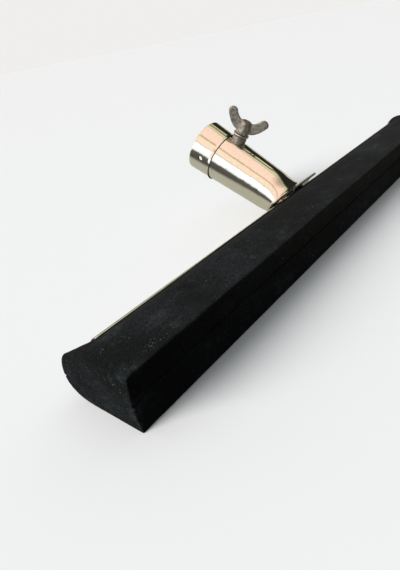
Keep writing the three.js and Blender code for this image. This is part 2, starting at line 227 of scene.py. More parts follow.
def grid_object(name, rows, wrap_rows=False):
    """A mesh over closed rows of points. Without wrap_rows, each end is closed with a disc."""
    count = len(rows[0])
    points = [point for row in rows for point in row]
    faces = []
    last = len(rows) if wrap_rows else len(rows) - 1
    for row in range(last):
        low = row * count
        high = (row + 1) % len(rows) * count
        for i in range(count):
            j = (i + 1) % count
            faces.append((low + i, low + j, high + j, high + i))
    if not wrap_rows:
        for low in (0, (len(rows) - 1) * count):
            points.append(sum((points[low + i] for i in range(count)), Vector()) / count)
            hub = len(points) - 1
            faces.extend((hub, low + i, low + (i + 1) % count) for i in range(count))
    mesh = bpy.data.meshes.new(name)
    mesh.from_pydata(points, [], faces)
    return linked(name, mesh)


def linked(name, mesh):
    obj = bpy.data.objects.new(name, mesh)
    bpy.context.scene.collection.objects.link(obj)
    return obj


def closed_and_smooth(obj, sharp=40):
    """Turns every face outwards and shades the mesh smooth. Edges over sharp degrees stay sharp."""
    made = bmesh.new()
    made.from_mesh(obj.data)
    bmesh.ops.remove_doubles(made, verts=made.verts, dist=1e-7)
    bmesh.ops.recalc_face_normals(made, faces=made.faces)
    made.to_mesh(obj.data)
    made.free()
    obj.data.shade_smooth()
    obj.data.set_sharp_from_angle(angle=math.radians(sharp))


def applied(obj):
    """Turns an object's modifiers into its mesh."""
    deps = bpy.context.evaluated_depsgraph_get()
    mesh = bpy.data.meshes.new_from_object(obj.evaluated_get(deps))
    obj.modifiers.clear()
    obj.data = mesh
    return obj


def around(count):
    """Even turns round a circle."""
    return [2 * math.pi * i / count for i in range(count)]


def cylinder_between(name, start, end, radius, segments=48):
    """A closed cylinder from one point to another."""
    axis = (end - start).normalized()
    side = axis.orthogonal().normalized()
    across = axis.cross(side)
    rims = [radius * (math.cos(turn) * side + math.sin(turn) * across) for turn in around(segments)]
    return grid_object(name, [[place + rim for rim in rims] for place in (start, end)])


def drilled(obj, start, end, radius):
    """Cuts a round hole through a piece."""
    drill = cylinder_between("drill", start, end, radius)
    closed_and_smooth(drill)
    cut = obj.modifiers.new("hole", "BOOLEAN")
    cut.operation = "DIFFERENCE"
    cut.solver = "EXACT"
    cut.object = drill
    applied(obj)
    bpy.data.objects.remove(drill)


def bumpy(point, size, height):
    """A signed noise of a given grain size and height, in metres."""
    return height * noise.noise(point / size)


def smoothstep(low, high, value):
    share = min(max((value - low) / (high - low), 0.0), 1.0)
    return share * share * (3 - 2 * share)


def bezier(points, share):
    """A point on the curve of three or four control points."""
    while len(points) > 1:
        points = [a.lerp(b, share) for a, b in zip(points, points[1:])]
    return points[0]


def curve(points, steps):
    """Even steps along a curve from its first control point to its last, both included."""
    return [bezier(points, step / steps) for step in range(steps + 1)]


def finished(obj, body, slot, material, *replaced):
    """Gives a piece its finish, its body and the solid that it stands for."""
    obj.data.materials.clear()
    obj.data.materials.append(material)
    for polygon in obj.data.polygons:
        polygon.material_index = 0
    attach(obj, body)
    if replaced:
        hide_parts(*replaced)
    return obj


# ------------------------------------------------------------------ geometry node helpers


def new_tree(name, inputs):
    """An empty geometry node tree with named inputs, as (tree, group input, group output)."""
    tree = bpy.data.node_groups.new(name, "GeometryNodeTree")
    tree.interface.new_socket("Geometry", in_out="OUTPUT", socket_type="NodeSocketGeometry")
    for label, kind in inputs:
        tree.interface.new_socket(label, in_out="INPUT", socket_type="NodeSocket" + kind)
    return tree, tree.nodes.new("NodeGroupInput"), tree.nodes.new("NodeGroupOutput")


def end_tree(tree, source, out, geometry):
    """Ends a tree in real geometry with its material."""
    real = tree.nodes.new("GeometryNodeRealizeInstances")
    paint = tree.nodes.new("GeometryNodeSetMaterial")
    tree.links.new(geometry, real.inputs["Geometry"])
    tree.links.new(real.outputs["Geometry"], paint.inputs["Geometry"])
    tree.links.new(source.outputs["Material"], paint.inputs["Material"])
    tree.links.new(paint.outputs["Geometry"], out.inputs["Geometry"])


def object_from_tree(name, tree, values):
    """Runs a tree on an empty mesh with the given inputs, and returns a plain mesh object."""
    obj = linked(name, bpy.data.meshes.new(name))
    modifier = obj.modifiers.new("nodes", "NODES")
    modifier.node_group = tree
    for item in tree.interface.items_tree:
        if item.in_out == "INPUT":
            modifier[item.identifier] = values[item.name]
    return applied(obj)


# ------------------------------------------------------------------ material helpers


def map_range(tree, value, low, high, to_low, to_high, interpolation="LINEAR"):
    node = tree.nodes.new("ShaderNodeMapRange")
    node.interpolation_type = interpolation
    tree.links.new(value, node.inputs["Value"])
    labels = ("From Min", "From Max", "To Min", "To Max")
    for label, number in zip(labels, (low, high, to_low, to_high)):
        node.inputs[label].default_value = number
    return node.outputs["Result"]


class Painter:
    """A material being built: short names for the nodes and links that all finishes use."""

    def __init__(self, name):
        self.material = bpy.data.materials.new(name)
        self.material.use_nodes = True
        self.tree = self.material.node_tree
        self.nodes = self.tree.nodes
        self.links = self.tree.links
        self.shader = self.nodes["Principled BSDF"]
        self.place = self.nodes.new("ShaderNodeTexCoord").outputs["Object"]

    def set(self, **values):
        for label, value in values.items():
            self.shader.inputs[label.replace("_", " ")].default_value = value

    def link(self, output, label):
        self.links.new(output, self.shader.inputs[label])

    def stretched(self, scale):
        node = self.nodes.new("ShaderNodeMapping")
        node.inputs["Scale"].default_value = scale
        self.links.new(self.place, node.inputs["Vector"])
        return node.outputs["Vector"]

    def noise(self, scale, detail=4.0, roughness=0.5, distortion=0.0, place=None):
        node = self.nodes.new("ShaderNodeTexNoise")
        node.inputs["Scale"].default_value = scale
        node.inputs["Detail"].default_value = detail
        node.inputs["Roughness"].default_value = roughness
        node.inputs["Distortion"].default_value = distortion
        self.links.new(place or self.place, node.inputs["Vector"])
        return node.outputs["Fac"]

    def cells(self, scale):
        node = self.nodes.new("ShaderNodeTexVoronoi")
        node.inputs["Scale"].default_value = scale
        self.links.new(self.place, node.inputs["Vector"])
        return node.outputs["Distance"]

    def ranged(self, value, low, high, to_low, to_high):
        return map_range(self.tree, value, low, high, to_low, to_high)

    def maths(self, operation, first, second):
        node = self.nodes.new("ShaderNodeMath")
        node.operation = operation
        for socket, value in zip(node.inputs, (first, second)):
            if isinstance(value, (int, float)):
                socket.default_value = value
            else:
                self.links.new(value, socket)
        return node.outputs["Value"]

    def mixed(self, share, first, second):
        node = self.nodes.new("ShaderNodeMix")
        node.data_type = "RGBA"
        self.links.new(share, node.inputs[0])
        for socket, value in ((node.inputs[6], first), (node.inputs[7], second)):
            if isinstance(value, bpy.types.NodeSocket):
                self.links.new(value, socket)
            else:
                socket.default_value = (*value, 1)
        return node.outputs[2]

    def bump(self, height, distance, strength=1.0, under=None):
        node = self.nodes.new("ShaderNodeBump")
        node.inputs["Strength"].default_value = strength
        node.inputs["Distance"].default_value = distance
        self.links.new(height, node.inputs["Height"])
        if under is not None:
            self.links.new(under, node.inputs["Normal"])
        return node.outputs["Normal"]


def darker(tint, share):
    return tuple(share * channel for channel in tint)


def bright_plating(name, tint, along):
    """Bright zinc plating over rolled sheet: fine draw lines, a faint mottle and a slow ripple."""
    paint = Painter(name)
    paint.set(Metallic=1.0)
    mottle = paint.noise(420, detail=5, roughness=0.62)
    share = paint.ranged(mottle, 0.45, 0.72, 0.0, 1.0)
    paint.link(paint.mixed(share, tint, darker(tint, 0.93)), "Base Color")
    stretch = [1800.0, 1800.0, 1800.0]
    stretch[along] = 90.0
    lines = paint.noise(1.0, detail=3, place=paint.stretched(stretch))
    paint.link(paint.ranged(mottle, 0.35, 0.75, 0.06, 0.14), "Roughness")
    ripple = paint.bump(paint.noise(110, detail=2), 0.14 * MM)
    fine = paint.bump(lines, 0.012 * MM, under=ripple)
    pits = paint.bump(paint.ranged(mottle, 0.5, 0.7, 0, 1), 0.008 * MM, under=fine)
    paint.link(pits, "Normal")
    return paint.material


def mottled_metal(name, metallic, mottle, tints, roughness, relief):
    """A metal whose colour, gloss and relief follow one fine mottle."""
    paint = Painter(name)
    paint.set(Metallic=metallic)
    spots = paint.noise(*mottle)
    paint.link(paint.mixed(spots, *tints), "Base Color")
    paint.link(paint.ranged(spots, 0.3, 0.7, *roughness), "Roughness")
    paint.link(paint.bump(spots, relief), "Normal")
    return paint.material


def dull_zinc(name):
    """Dull zinc on small turned and rolled pieces."""
    tints = (0.52, 0.51, 0.48), (0.72, 0.71, 0.67)
    return mottled_metal(name, 1.0, (1500, 5, 0.6), tints, (0.26, 0.46), 0.03 * MM)


def painted_shade_rim(name):
    """Painted shade for the ring's base-side rim: a dark, near-black metal finish that stands for
    the shadow in the gap under the rim.
    """
    tints = (0.010, 0.010, 0.008), (0.05, 0.045, 0.035)
    return mottled_metal(name, 0.4, (900, 5), tints, (0.75, 0.5), 0.06 * MM)


def casting(name, tint):
    """A small rough casting, brighter where it is handled."""
    paint = Painter(name)
    paint.set(Metallic=0.85)
    blotch = paint.noise(700, detail=6, roughness=0.65)
    share = paint.ranged(blotch, 0.35, 0.7, 0.0, 1.0)
    paint.link(paint.mixed(share, darker(tint, 0.45), darker(tint, 1.5)), "Base Color")
    paint.link(paint.ranged(blotch, 0.3, 0.7, 0.55, 0.34), "Roughness")
    grain = paint.bump(paint.noise(3200, detail=3), 0.06 * MM)
    paint.link(paint.bump(blotch, 0.12 * MM, under=grain), "Normal")
    return paint.material


def burnt_weld(name):
    """Dark scale on a run of weld."""
    tints = (0.018, 0.017, 0.013), (0.16, 0.15, 0.12)
    return mottled_metal(name, 0.9, (1400, 5), tints, (0.5, 0.3), 0.12 * MM)


def cellular_rubber(name, tint, dust):
    """Matt foam rubber with open pores painted darker as painted shade in them, pale scuffs along
    its length and a few light specks.
    """
    paint = Painter(name)
    paint.set(Metallic=0.0, IOR=1.45)
    paint.shader.inputs["Specular IOR Level"].default_value = 0.1
    paint.shader.inputs["Sheen Weight"].default_value = 0.01
    paint.shader.inputs["Sheen Roughness"].default_value = 0.45
    pores = paint.cells(1500)
    coarse = paint.cells(620)
    cloud = paint.noise(26, detail=6, roughness=0.62)
    scuffs = paint.noise(1.0, detail=6, roughness=0.7, place=paint.stretched((60, 90, 90)))
    scuffed = paint.ranged(scuffs, 0.54, 0.8, 0.0, 0.34)
    clouded = paint.ranged(cloud, 0.44, 0.78, 0.0, 0.16)
    grey = paint.maths("ADD", scuffed, clouded)
    body = paint.mixed(grey, tint, dust)
    grain = paint.noise(1100, detail=3, roughness=0.6)
    open_pores = paint.ranged(pores, 0.1, 0.4, 0.5, 1)
    pits = paint.maths("MULTIPLY", open_pores, paint.ranged(grain, 0.35, 0.62, 0.3, 1))
    # The pore centres, where the bump sinks, are painted near black: painted shade in the pores,
    # broken up by a fine grain.
    shaded = paint.mixed(pits, darker(tint, 0.2), body)
    speck_size = paint.ranged(paint.noise(95, detail=2), 0.48, 0.72, 0.0, 0.24)
    specks = paint.maths("LESS_THAN", paint.cells(850), speck_size)
    faint = paint.maths("MULTIPLY", specks, 0.5)
    paint.link(paint.mixed(faint, shaded, (0.17, 0.18, 0.175)), "Base Color")
    paint.link(paint.ranged(cloud, 0.3, 0.8, 0.82, 0.95), "Roughness")
    fine = paint.bump(pores, 0.22 * MM, 0.8)
    paint.link(paint.bump(coarse, 0.3 * MM, 0.6, under=fine), "Normal")
    return paint.material


# ------------------------------------------------------------------ rail and blades


def rail_circle(settings):
    """The rail's outside radius and the place of its axis, from its box."""
    outer = (RAIL_HIGH.z - RAIL_LOW.z) / 2 / math.sin(settings.half_angle)
    return outer, Vector((0, RAIL_HIGH.y - outer, (RAIL_HIGH.z + RAIL_LOW.z) / 2))


RAIL_STATIONS = 160
RAIL_WAVE_LENGTH = 24 * MM
RAIL_EASE = 0.25 * MM
RAIL_EASE_DEPTH = 0.6


def rail_section(settings):
    """The rail's closed section as (radius, angle) pairs, with both lips rounded."""
    outer = rail_circle(settings)[0]
    inner = outer - settings.sheet
    middle = (outer + inner) / 2
    half = settings.half_angle - settings.sheet / 2 / middle
    steps, lip_steps = 40, 8
    sweep = [half * (2 * step / steps - 1) for step in range(steps + 1)]
    lip = []
    for step in range(1, lip_steps):
        turn = math.pi * step / lip_steps
        across = settings.sheet / 2 * math.cos(turn)
        round_lip = settings.sheet / 2 * math.sin(turn) / middle
        lip.append((middle + across, half + round_lip))
    section = [(outer, turn) for turn in sweep] + lip
    section += [(inner, turn) for turn in reversed(sweep)]
    return section + [(radius, -turn) for radius, turn in reversed(lip)]


def rail_object(settings):
    """The rail as a mesh, a little thinner at its two cut ends."""
    outer, centre = rail_circle(settings)
    section = rail_section(settings)
    rows = []
    for station in range(RAIL_STATIONS + 1):
        x = RAIL_LOW.x + (RAIL_HIGH.x - RAIL_LOW.x) * station / RAIL_STATIONS
        stray = bumpy(Vector((x, 0, 0)), RAIL_WAVE_LENGTH, settings.wave)
        shrink = RAIL_EASE if station in (0, RAIL_STATIONS) else 0.0
        row = []
        for radius, turn in section:
            away = radius + stray
            inside = radius < outer - settings.sheet / 2
            away += shrink * (RAIL_EASE_DEPTH if inside else -RAIL_EASE_DEPTH)
            offset = Vector((0, away * math.cos(turn), away * math.sin(turn)))
            row.append(Vector((x, centre.y, centre.z)) + offset)
        rows.append(row)
    for end, step in ((0, 1), (len(rows) - 1, -1)):
        x = rows[end][0].x + step * RAIL_EASE
        rows.insert(end + (1 if step > 0 else 0), [Vector((x, *p.yz)) for p in rows[end + step]])
    return grid_object("plated_rail", rows)


class AddRail(bpy.types.Operator):
    """Builds the half-round plated rail"""

    bl_idname = "squeegee.add_rail"
    bl_label = "Rail"

    def execute(self, context):
        settings = context.scene.squeegee_rail
        rail = rail_object(settings)
        closed_and_smooth(rail)
        paint = bright_plating("bright_plating_rail", settings.tint, along=0)
        finished(rail, "head", "bright_steel", paint, "back_rail")
        return {"FINISHED"}


SHOULDER_RUN = 3.7 * MM
OUTLINE_POINTS = 132
BLADE_STATIONS = 260
SWELL_START = 0.5 * MM
SWELL_POWER = 0.85
SPLIT_CLOSES = 4 * MM
SPLIT_OPENS = 1.5 * MM
FACE_RINGS = (0.9, 0.78, 0.64, 0.5, 0.36, 0.22, 0.1)


def rounded_corner(before, corner, after, radius):
    """Points that round a corner of an outline."""
    start = corner + (before - corner).normalized() * radius
    end = corner + (after - corner).normalized() * radius
    return curve((start, corner, end), 5)


def blade_section(settings, rail, swell):
    """The upper blade's outline in (y, z): from the split, round its back and over its top."""
    outer, centre = rail_circle(rail)
    radius = outer - rail.sheet - settings.gap + swell
    split = MID_Z + settings.gap / 2
    top = UPPER_HIGH.z
    front_low = Vector((UPPER_LOW.y + settings.rake, split))
    front_high = Vector((UPPER_LOW.y, top))
    start = math.asin((split - centre.z) / radius)
    arc = []
    steps = 16
    for step in range(steps + 1):
        turn = start + (rail.half_angle - start) * step / steps
        arc.append(Vector((centre.y + radius * math.cos(turn), centre.z + radius * math.sin(turn))))
    flat_end = Vector((settings.flat / 2, top))
    shoulder = Vector((arc[-1].x - SHOULDER_RUN, top))
    outline = rounded_corner(front_high, front_low, arc[0], settings.corner)
    outline += rounded_corner(front_low, arc[0], arc[1], settings.corner / 3)
    outline += arc[1:] + curve((arc[-1], shoulder, flat_end), 8)[1:]
    outline += rounded_corner(flat_end, front_high, front_low, settings.corner)
    return evenly(outline, OUTLINE_POINTS)


def evenly(outline, count):
    """A closed outline walked again in equal steps."""
    closed = outline + outline[:1]
    places = [0.0]
    for first, second in zip(closed, closed[1:]):
        places.append(places[-1] + (second - first).length)
    walked = []
    edge = 0
    for step in range(count):
        target = places[-1] * step / count
        while places[edge + 1] < target:
            edge += 1
        share = (target - places[edge]) / max(places[edge + 1] - places[edge], 1e-12)
        walked.append(closed[edge].lerp(closed[edge + 1], share))
    return walked


def blade_rows(settings, rail):
    """The upper blade's rows of points from one end to the other, with its end faces."""
    half = UPPER_HIGH.x
    rail_half = RAIL_HIGH.x
    corner = settings.corner
    places = [half * (2 * i / BLADE_STATIONS - 1) for i in range(BLADE_STATIONS + 1)]
    places[0] += corner
    places[-1] -= corner
    rows = []
    for x in places:
        share = max(0.0, (abs(x) - rail_half + SWELL_START) / (half - rail_half))
        section = blade_section(settings, rail, settings.swell * share**SWELL_POWER)
        rows.append([Vector((x, point.x, point.y)) for point in section])
    return end_face(rows[0], -half, corner)[::-1] + rows + end_face(rows[-1], half, corner)


def sunk(settings, point, upper):
    """Moves a point with the split, which sinks and closes beyond the rail and opens at its end."""
    away = abs(point.x)
    half = UPPER_HIGH.x
    drop = settings.sag * smoothstep(half - settings.sag_run, half, away)
    if upper:
        closing = 0.8 * settings.gap
        drop += closing * smoothstep(RAIL_HIGH.x, RAIL_HIGH.x + SPLIT_CLOSES, away)
    else:
        drop += settings.parting * smoothstep(half - SPLIT_OPENS, half, away)
    near = 1 - abs(point.z - MID_Z) / (UPPER_HIGH.z - MID_Z)
    return Vector((point.x, point.y, point.z - drop * min(max(near, 0), 1)))


def end_face(row, x, corner):
    """Rings that close a blade's end, from the rounded edge in to its middle."""
    middle = sum(row, Vector()) / len(row)
    middle.x = x
    rings = []
    steps = 3
    for step in range(1, steps + 1):
        turn = math.pi / 2 * step / steps
        ring = []
        for point in row:
            inwards = Vector((0, middle.y - point.y, middle.z - point.z)).normalized()
            moved = point + inwards * corner * (1 - math.cos(turn))
            moved.x = point.x + (x - point.x) * math.sin(turn)
            ring.append(moved)
        rings.append(ring)
    edge = rings[-1]
    return rings + [[middle.lerp(point, share) for point in edge] for share in FACE_RINGS]


def roughened_blade(settings, point, seed):
    """Moves a point of a blade by the slow waves and the small unevenness of cut foam."""
    shifted = point + Vector((seed, 0, 0))
    slow = bumpy(shifted, 30 * MM, settings.wobble)
    small = bumpy(shifted, 2.2 * MM, 0.05 * MM)
    rough = bumpy(shifted, 1.1 * MM, 0.03 * MM)
    held = 1.0 - smoothstep(settings.flat / 2, settings.flat / 2 + 5 * MM, point.y)
    free = smoothstep(RAIL_HIGH.x, RAIL_HIGH.x + 2 * MM, abs(point.x))
    share = max(held, free)
    outer_face = 1.0 if point.z > MID_Z + 2 * MM else 0.0
    y = rough + 0.5 * slow * share
    return point + Vector((0.5 * (small + rough), y, small + slow * outer_face * share))


class AddFoamBlades(bpy.types.Operator):
    """Builds the two foam rubber blades, one the other way up"""

    bl_idname = "squeegee.add_foam_blades"
    bl_label = "Foam blades"

    def execute(self, context):
        settings = context.scene.squeegee_foam
        rows = blade_rows(settings, context.scene.squeegee_rail)
        paint = cellular_rubber("cellular_rubber", settings.tint, settings.dust)
        for name, sign, seed in (("upper", 1, 0.0), ("lower", -1, 3.7)):
            placed = []
            for row in rows:
                moved = [roughened_blade(settings, point, seed) for point in row]
                turned = [Vector((p.x, p.y, MID_Z + sign * (p.z - MID_Z))) for p in moved]
                placed.append([sunk(settings, point, sign > 0) for point in turned])
            blade = grid_object(f"{name}_foam_strip", placed)
            closed_and_smooth(blade, 75)
            finished(blade, "head", "foam_rubber", paint, f"{name}_foam_blade")
        return {"FINISHED"}


# ------------------------------------------------------------------ handle socket


def socket_origin(settings):
    return Vector((0, RAIL_HIGH.y, MID_Z - settings.drop))


def socket_point(settings, x, along, out):
    return socket_origin(settings) + Vector((x, 0, 0)) + along * SOCKET_ALONG + out * SOCKET_OUT


def tube_place(settings, along, radius, turn):
    """A point about the handle's axis. Turn 0 points to +X."""
    return socket_point(settings, radius * math.cos(turn), along, radius * math.sin(turn))


def socket_length(settings):
    return span("handle_socket", socket_origin(settings), SOCKET_ALONG)[1]


def tube_radius(settings, along):
    """Outside radius of the tapered tube, which grows evenly from the throat to the mouth."""
    mouth_at = socket_length(settings)
    mouth = reach("handle_socket", socket_origin(settings), SOCKET_ALONG, mouth_at - MM, 1)
    share = (along - settings.throat_at) / (mouth_at - settings.throat_at)
    return settings.throat_radius + (mouth - settings.throat_radius) * share


TUBE_POINTS = 220
SEAM_STEPS = (-1.35, -1.0, -0.85, 0.0, 0.85, 1.0, 1.35)  # in half widths of the open joint
SEAM_CLEAR = 2.2


def socket_turns(settings):
    """Turns round the tube from +X, close together at the open joint."""
    seam = math.pi / 2 + settings.seam_turn
    half = settings.seam_width / 2 / settings.throat_radius
    turns = [seam + half * share for share in SEAM_STEPS]
    clear = 2 * math.pi - 2 * half * SEAM_CLEAR
    start = seam + half * SEAM_CLEAR
    return turns + [start + clear * i / (TUBE_POINTS - 1) for i in range(TUBE_POINTS)]


def in_seam(settings, turn):
    """1 on the floor of the open joint, 0 on the tube beside it."""
    seam = math.pi / 2 + settings.seam_turn
    away = abs((turn - seam + math.pi) % (2 * math.pi) - math.pi) * settings.throat_radius
    return 1.0 if away < 0.9 * settings.seam_width / 2 else 0.0


def saddle_place(rail, radius, x, arc):
    """A point on a round sheet about the rail's axis, from its place across and round the sheet."""
    centre = rail_circle(rail)[1]
    turn = arc / radius
    return Vector((x, centre.y + radius * math.cos(turn), centre.z + radius * math.sin(turn)))


def signed_power(value, power):
    return math.copysign(abs(value) ** power, value)


def flare_foot(settings, radius, turn):
    """Where the flare meets the saddle, as a place across and round the sheet."""
    power = 2 / settings.flare_square
    x = settings.flare_half_width * signed_power(math.cos(turn), power)
    arc = radius * settings.flare_half_angle * signed_power(math.sin(turn), power)
    return Vector((x, arc))


def foot_edge(settings, radius, direction):
    """How many times direction reaches to the edge of the saddle, which has round corners."""
    corner = settings.foot_corner
    width = settings.foot_half_width - corner
    height = radius * settings.foot_half_angle - corner
    low, high = 0.5, 6.0
    for _ in range(40):
        middle = (low + high) / 2
        x = abs(direction.x) * middle - width
        y = abs(direction.y) * middle - height
        outside = math.hypot(max(x, 0), max(y, 0)) - corner
        if outside > 0 or x > corner or y > corner:
            high = middle
        else:
            low = middle
    return low


TUBE_STEPS = 64
FLARE_STEPS = 32
FOOT_STEPS = 12
SEAM_ENDS = 3 * MM
FLARE_PULL = 9 * MM
FLARE_LEAN = 6.5 * MM
FLARE_AIM = 0.8


def socket_skin(settings, rail):
    """The outside of the socket as rows of points, from the mouth down to the saddle's edge."""
    turns = socket_turns(settings)
    saddle = rail_circle(rail)[0] + SHEET_GAP + settings.wall
    throat_at = settings.throat_at
    mouth_at = socket_length(settings)
    rows = []
    for step in range(TUBE_STEPS + 1):
        along = mouth_at + (throat_at - mouth_at) * step / TUBE_STEPS
        radius = tube_radius(settings, along)
        depth = settings.seam_depth * smoothstep(throat_at, throat_at + SEAM_ENDS, along)
        sunken = [radius - depth * in_seam(settings, turn) for turn in turns]
        rows.append([tube_place(settings, along, r, turn) for r, turn in zip(sunken, turns)])
    feet = [flare_foot(settings, saddle, turn) for turn in turns]
    curves = []
    for start, foot in zip(rows[-1], feet):
        end = saddle_place(rail, saddle, foot.x, foot.y)
        inner = saddle_place(rail, saddle, FLARE_AIM * foot.x, FLARE_AIM * foot.y)
        lean = (end - inner).normalized() * FLARE_LEAN
        curves.append((start, start - SOCKET_ALONG * FLARE_PULL, end - lean, end))
    for step in range(1, FLARE_STEPS + 1):
        rows.append([bezier(points, step / FLARE_STEPS) for points in curves])
    edges = [foot_edge(settings, saddle, foot) for foot in feet]
    for step in range(1, FOOT_STEPS + 1):
        share = step / FOOT_STEPS
        grown = [foot * (1 + (edge - 1) * share) for foot, edge in zip(feet, edges)]
        rows.append([saddle_place(rail, saddle, place.x, place.y) for place in grown])
    return rows


def row_normals(rows):
    """Outward directions of a grid of points."""
    normals = []
    last = len(rows) - 1
    count = len(rows[0])
    for r, row in enumerate(rows):
        below, above = rows[max(r - 1, 0)], rows[min(r + 1, last)]
        line = []
        for i in range(count):
            sideways = row[(i + 2) % count] - row[i - 2]
            down = above[i] - below[i]
            line.append(down.cross(sideways).normalized())
        normals.append(line)
    return normals


def with_wall(rows, wall):
    """Closes a skin into a wall of even thickness with round edges at both ends."""
    normals = row_normals(rows)
    inside = [
        [point - wall * normal for point, normal in zip(row, line)]
        for row, line in zip(rows, normals)
    ]

    def rim(row, line, neighbour):
        made = []
        steps = 10
        for step in range(1, steps):
            turn = math.pi * step / steps
            ring = []
            for point, normal, beside in zip(row, line, neighbour):
                out = (point - beside).normalized()
                depth = wall / 2 * (1 - math.cos(turn))
                ring.append(point - depth * normal + 0.5 * wall * math.sin(turn) * out)
            made.append(ring)
        return made

    end = rim(rows[-1], normals[-1], rows[-2])
    start = rim(rows[0], normals[0], rows[1])
    return rows + end + inside[::-1] + start[::-1]


def cross_drilled(obj, settings):
    """Cuts the fixing hole in both sides, square to the handle's axis in the ring's middle."""
    low, high = span("mouth_ring", socket_origin(settings), SOCKET_ALONG)
    along = (low + high) / 2
    for side in (-1, 1):
        ends = [socket_point(settings, side * x * MM, along, 0) for x in (8, 20)]
        drilled(obj, *ends, settings.hole_radius)


class AddSocket(bpy.types.Operator):
    """Builds the rolled and flared handle socket with its saddle foot"""

    bl_idname = "squeegee.add_socket"
    bl_label = "Handle socket"

    def execute(self, context):
        scene = context.scene
        settings = scene.squeegee_socket
        screw = scene.squeegee_screw
        rows = with_wall(socket_skin(settings, scene.squeegee_rail), settings.wall)
        socket = grid_object("flared_socket", rows, wrap_rows=True)
        closed_and_smooth(socket)
        cross_drilled(socket, settings)
        axis_point = screw_foot(settings)
        far = axis_point + 20 * MM * SCREW_AXIS
        drilled(socket, axis_point, far, screw.radius + screw.clearance)
        closed_and_smooth(socket, 38)
        paint = bright_plating("bright_plating_socket", scene.squeegee_rail.tint, along=1)
        finished(socket, "head", "bright_steel", paint, "handle_socket")
        return {"FINISHED"}


def bead_tree():
    """Drops of weld on a straight line, each with its own size and turn."""
    inputs = [
        ("Start", "Vector"),
        ("End", "Vector"),
        ("Count", "Int"),
        ("Drop size", "Float"),
        ("Seed", "Int"),
        ("Material", "Material"),
    ]
    tree, source, out = new_tree("weld_beads", inputs)
    nodes, link = tree.nodes, tree.links.new
    line = nodes.new("GeometryNodeMeshLine")
    line.mode = "END_POINTS"
    link(source.outputs["Count"], line.inputs["Count"])
    link(source.outputs["Start"], line.inputs["Start Location"])
    link(source.outputs["End"], line.inputs["Offset"])
    drop = nodes.new("GeometryNodeMeshIcoSphere")
    drop.inputs["Subdivisions"].default_value = 3
    link(source.outputs["Drop size"], drop.inputs["Radius"])
    # Each drop has its own scale, turn in radians and shift in metres.
    grow = random_vector(tree, source, (0.6, 0.6, 0.6), (1.4, 1.4, 1.2), 1)
    turn = random_vector(tree, source, (-0.5, -0.5, -0.6), (0.5, 0.5, 0.6), 2)
    shift = random_vector(tree, source, (-0.0002, -0.0003, -0.0003), (0.0016, 0.0003, 0.0001), 3)
    moved = nodes.new("GeometryNodeSetPosition")
    link(line.outputs["Mesh"], moved.inputs["Geometry"])
    link(shift, moved.inputs["Offset"])
    put = nodes.new("GeometryNodeInstanceOnPoints")
    link(moved.outputs["Geometry"], put.inputs["Points"])
    link(drop.outputs["Mesh"], put.inputs["Instance"])
    link(grow, put.inputs["Scale"])
    link(turn, put.inputs["Rotation"])
    end_tree(tree, source, out, put.outputs["Instances"])
    return tree


def random_vector(tree, source, low, high, offset):
    """A random vector for each point, drawn with the tree's seed and an offset of its own."""
    node = tree.nodes.new("FunctionNodeRandomValue")
    node.data_type = "FLOAT_VECTOR"
    node.inputs["Min"].default_value = low
    node.inputs["Max"].default_value = high
    add = tree.nodes.new("ShaderNodeMath")
    add.inputs[1].default_value = offset
    tree.links.new(source.outputs["Seed"], add.inputs[0])
    tree.links.new(add.outputs[0], node.inputs["Seed"])
    return node.outputs["Value"]


WELD_DROPS = 56
WELD_SEED = 7
WELD_PAST_THROAT = 1 * MM
WELD_SHORT_OF_RING = 10.5 * MM
WELD_SUNK = 0.1 * MM


class AddWeldBeads(bpy.types.Operator):
    """Builds the run of weld that closes the lower part of the socket's joint"""

    bl_idname = "squeegee.add_weld_beads"
    bl_label = "Weld beads"

    def execute(self, context):
        settings = context.scene.squeegee_socket
        seam = math.pi / 2 + settings.seam_turn
        ring_low = span("mouth_ring", socket_origin(settings), SOCKET_ALONG)[0]
        ends = []
        for along in (settings.throat_at - WELD_PAST_THROAT, ring_low - WELD_SHORT_OF_RING):
            radius = tube_radius(settings, along) - WELD_SUNK
            ends.append(tube_place(settings, along, radius, seam))
        values = {
            "Start": ends[0],
            "End": ends[1],
            "Count": WELD_DROPS,
            "Drop size": settings.bead,
            "Seed": WELD_SEED,
            "Material": burnt_weld("burnt_weld"),
        }
        beads = object_from_tree("weld_run", bead_tree(), values)
        finished(beads, "head", "cast_metal", values["Material"])
        return {"FINISHED"}


# ------------------------------------------------------------------ mouth ring


RING_POINTS = 200
RING_LIFT_RUN = 2.4 * MM
# Depth from the ring's base-side end that gets the painted shade finish.
SHADED_RIM_DEPTH = 0.3 * MM


def ring_section(low, high, thickness):
    """The mouth ring's closed section as (along, out from the tube) pairs."""
    edge = thickness / 2
    ease = thickness / 8
    section = []
    for step in range(9):
        turn = math.pi * step / 8
        section.append((high - edge + edge * math.sin(turn), edge * (1 + math.cos(turn))))
    steps = 16
    for step in range(1, steps):
        section.append((high - edge + (low - high + edge) * step / steps, 0.0))
    section += [(low, ease), (low, edge), (low, thickness - ease), (low + ease, thickness)]
    for step in range(1, steps):
        section.append((low + edge + (high - low - 2 * edge) * step / steps, thickness))
    return section


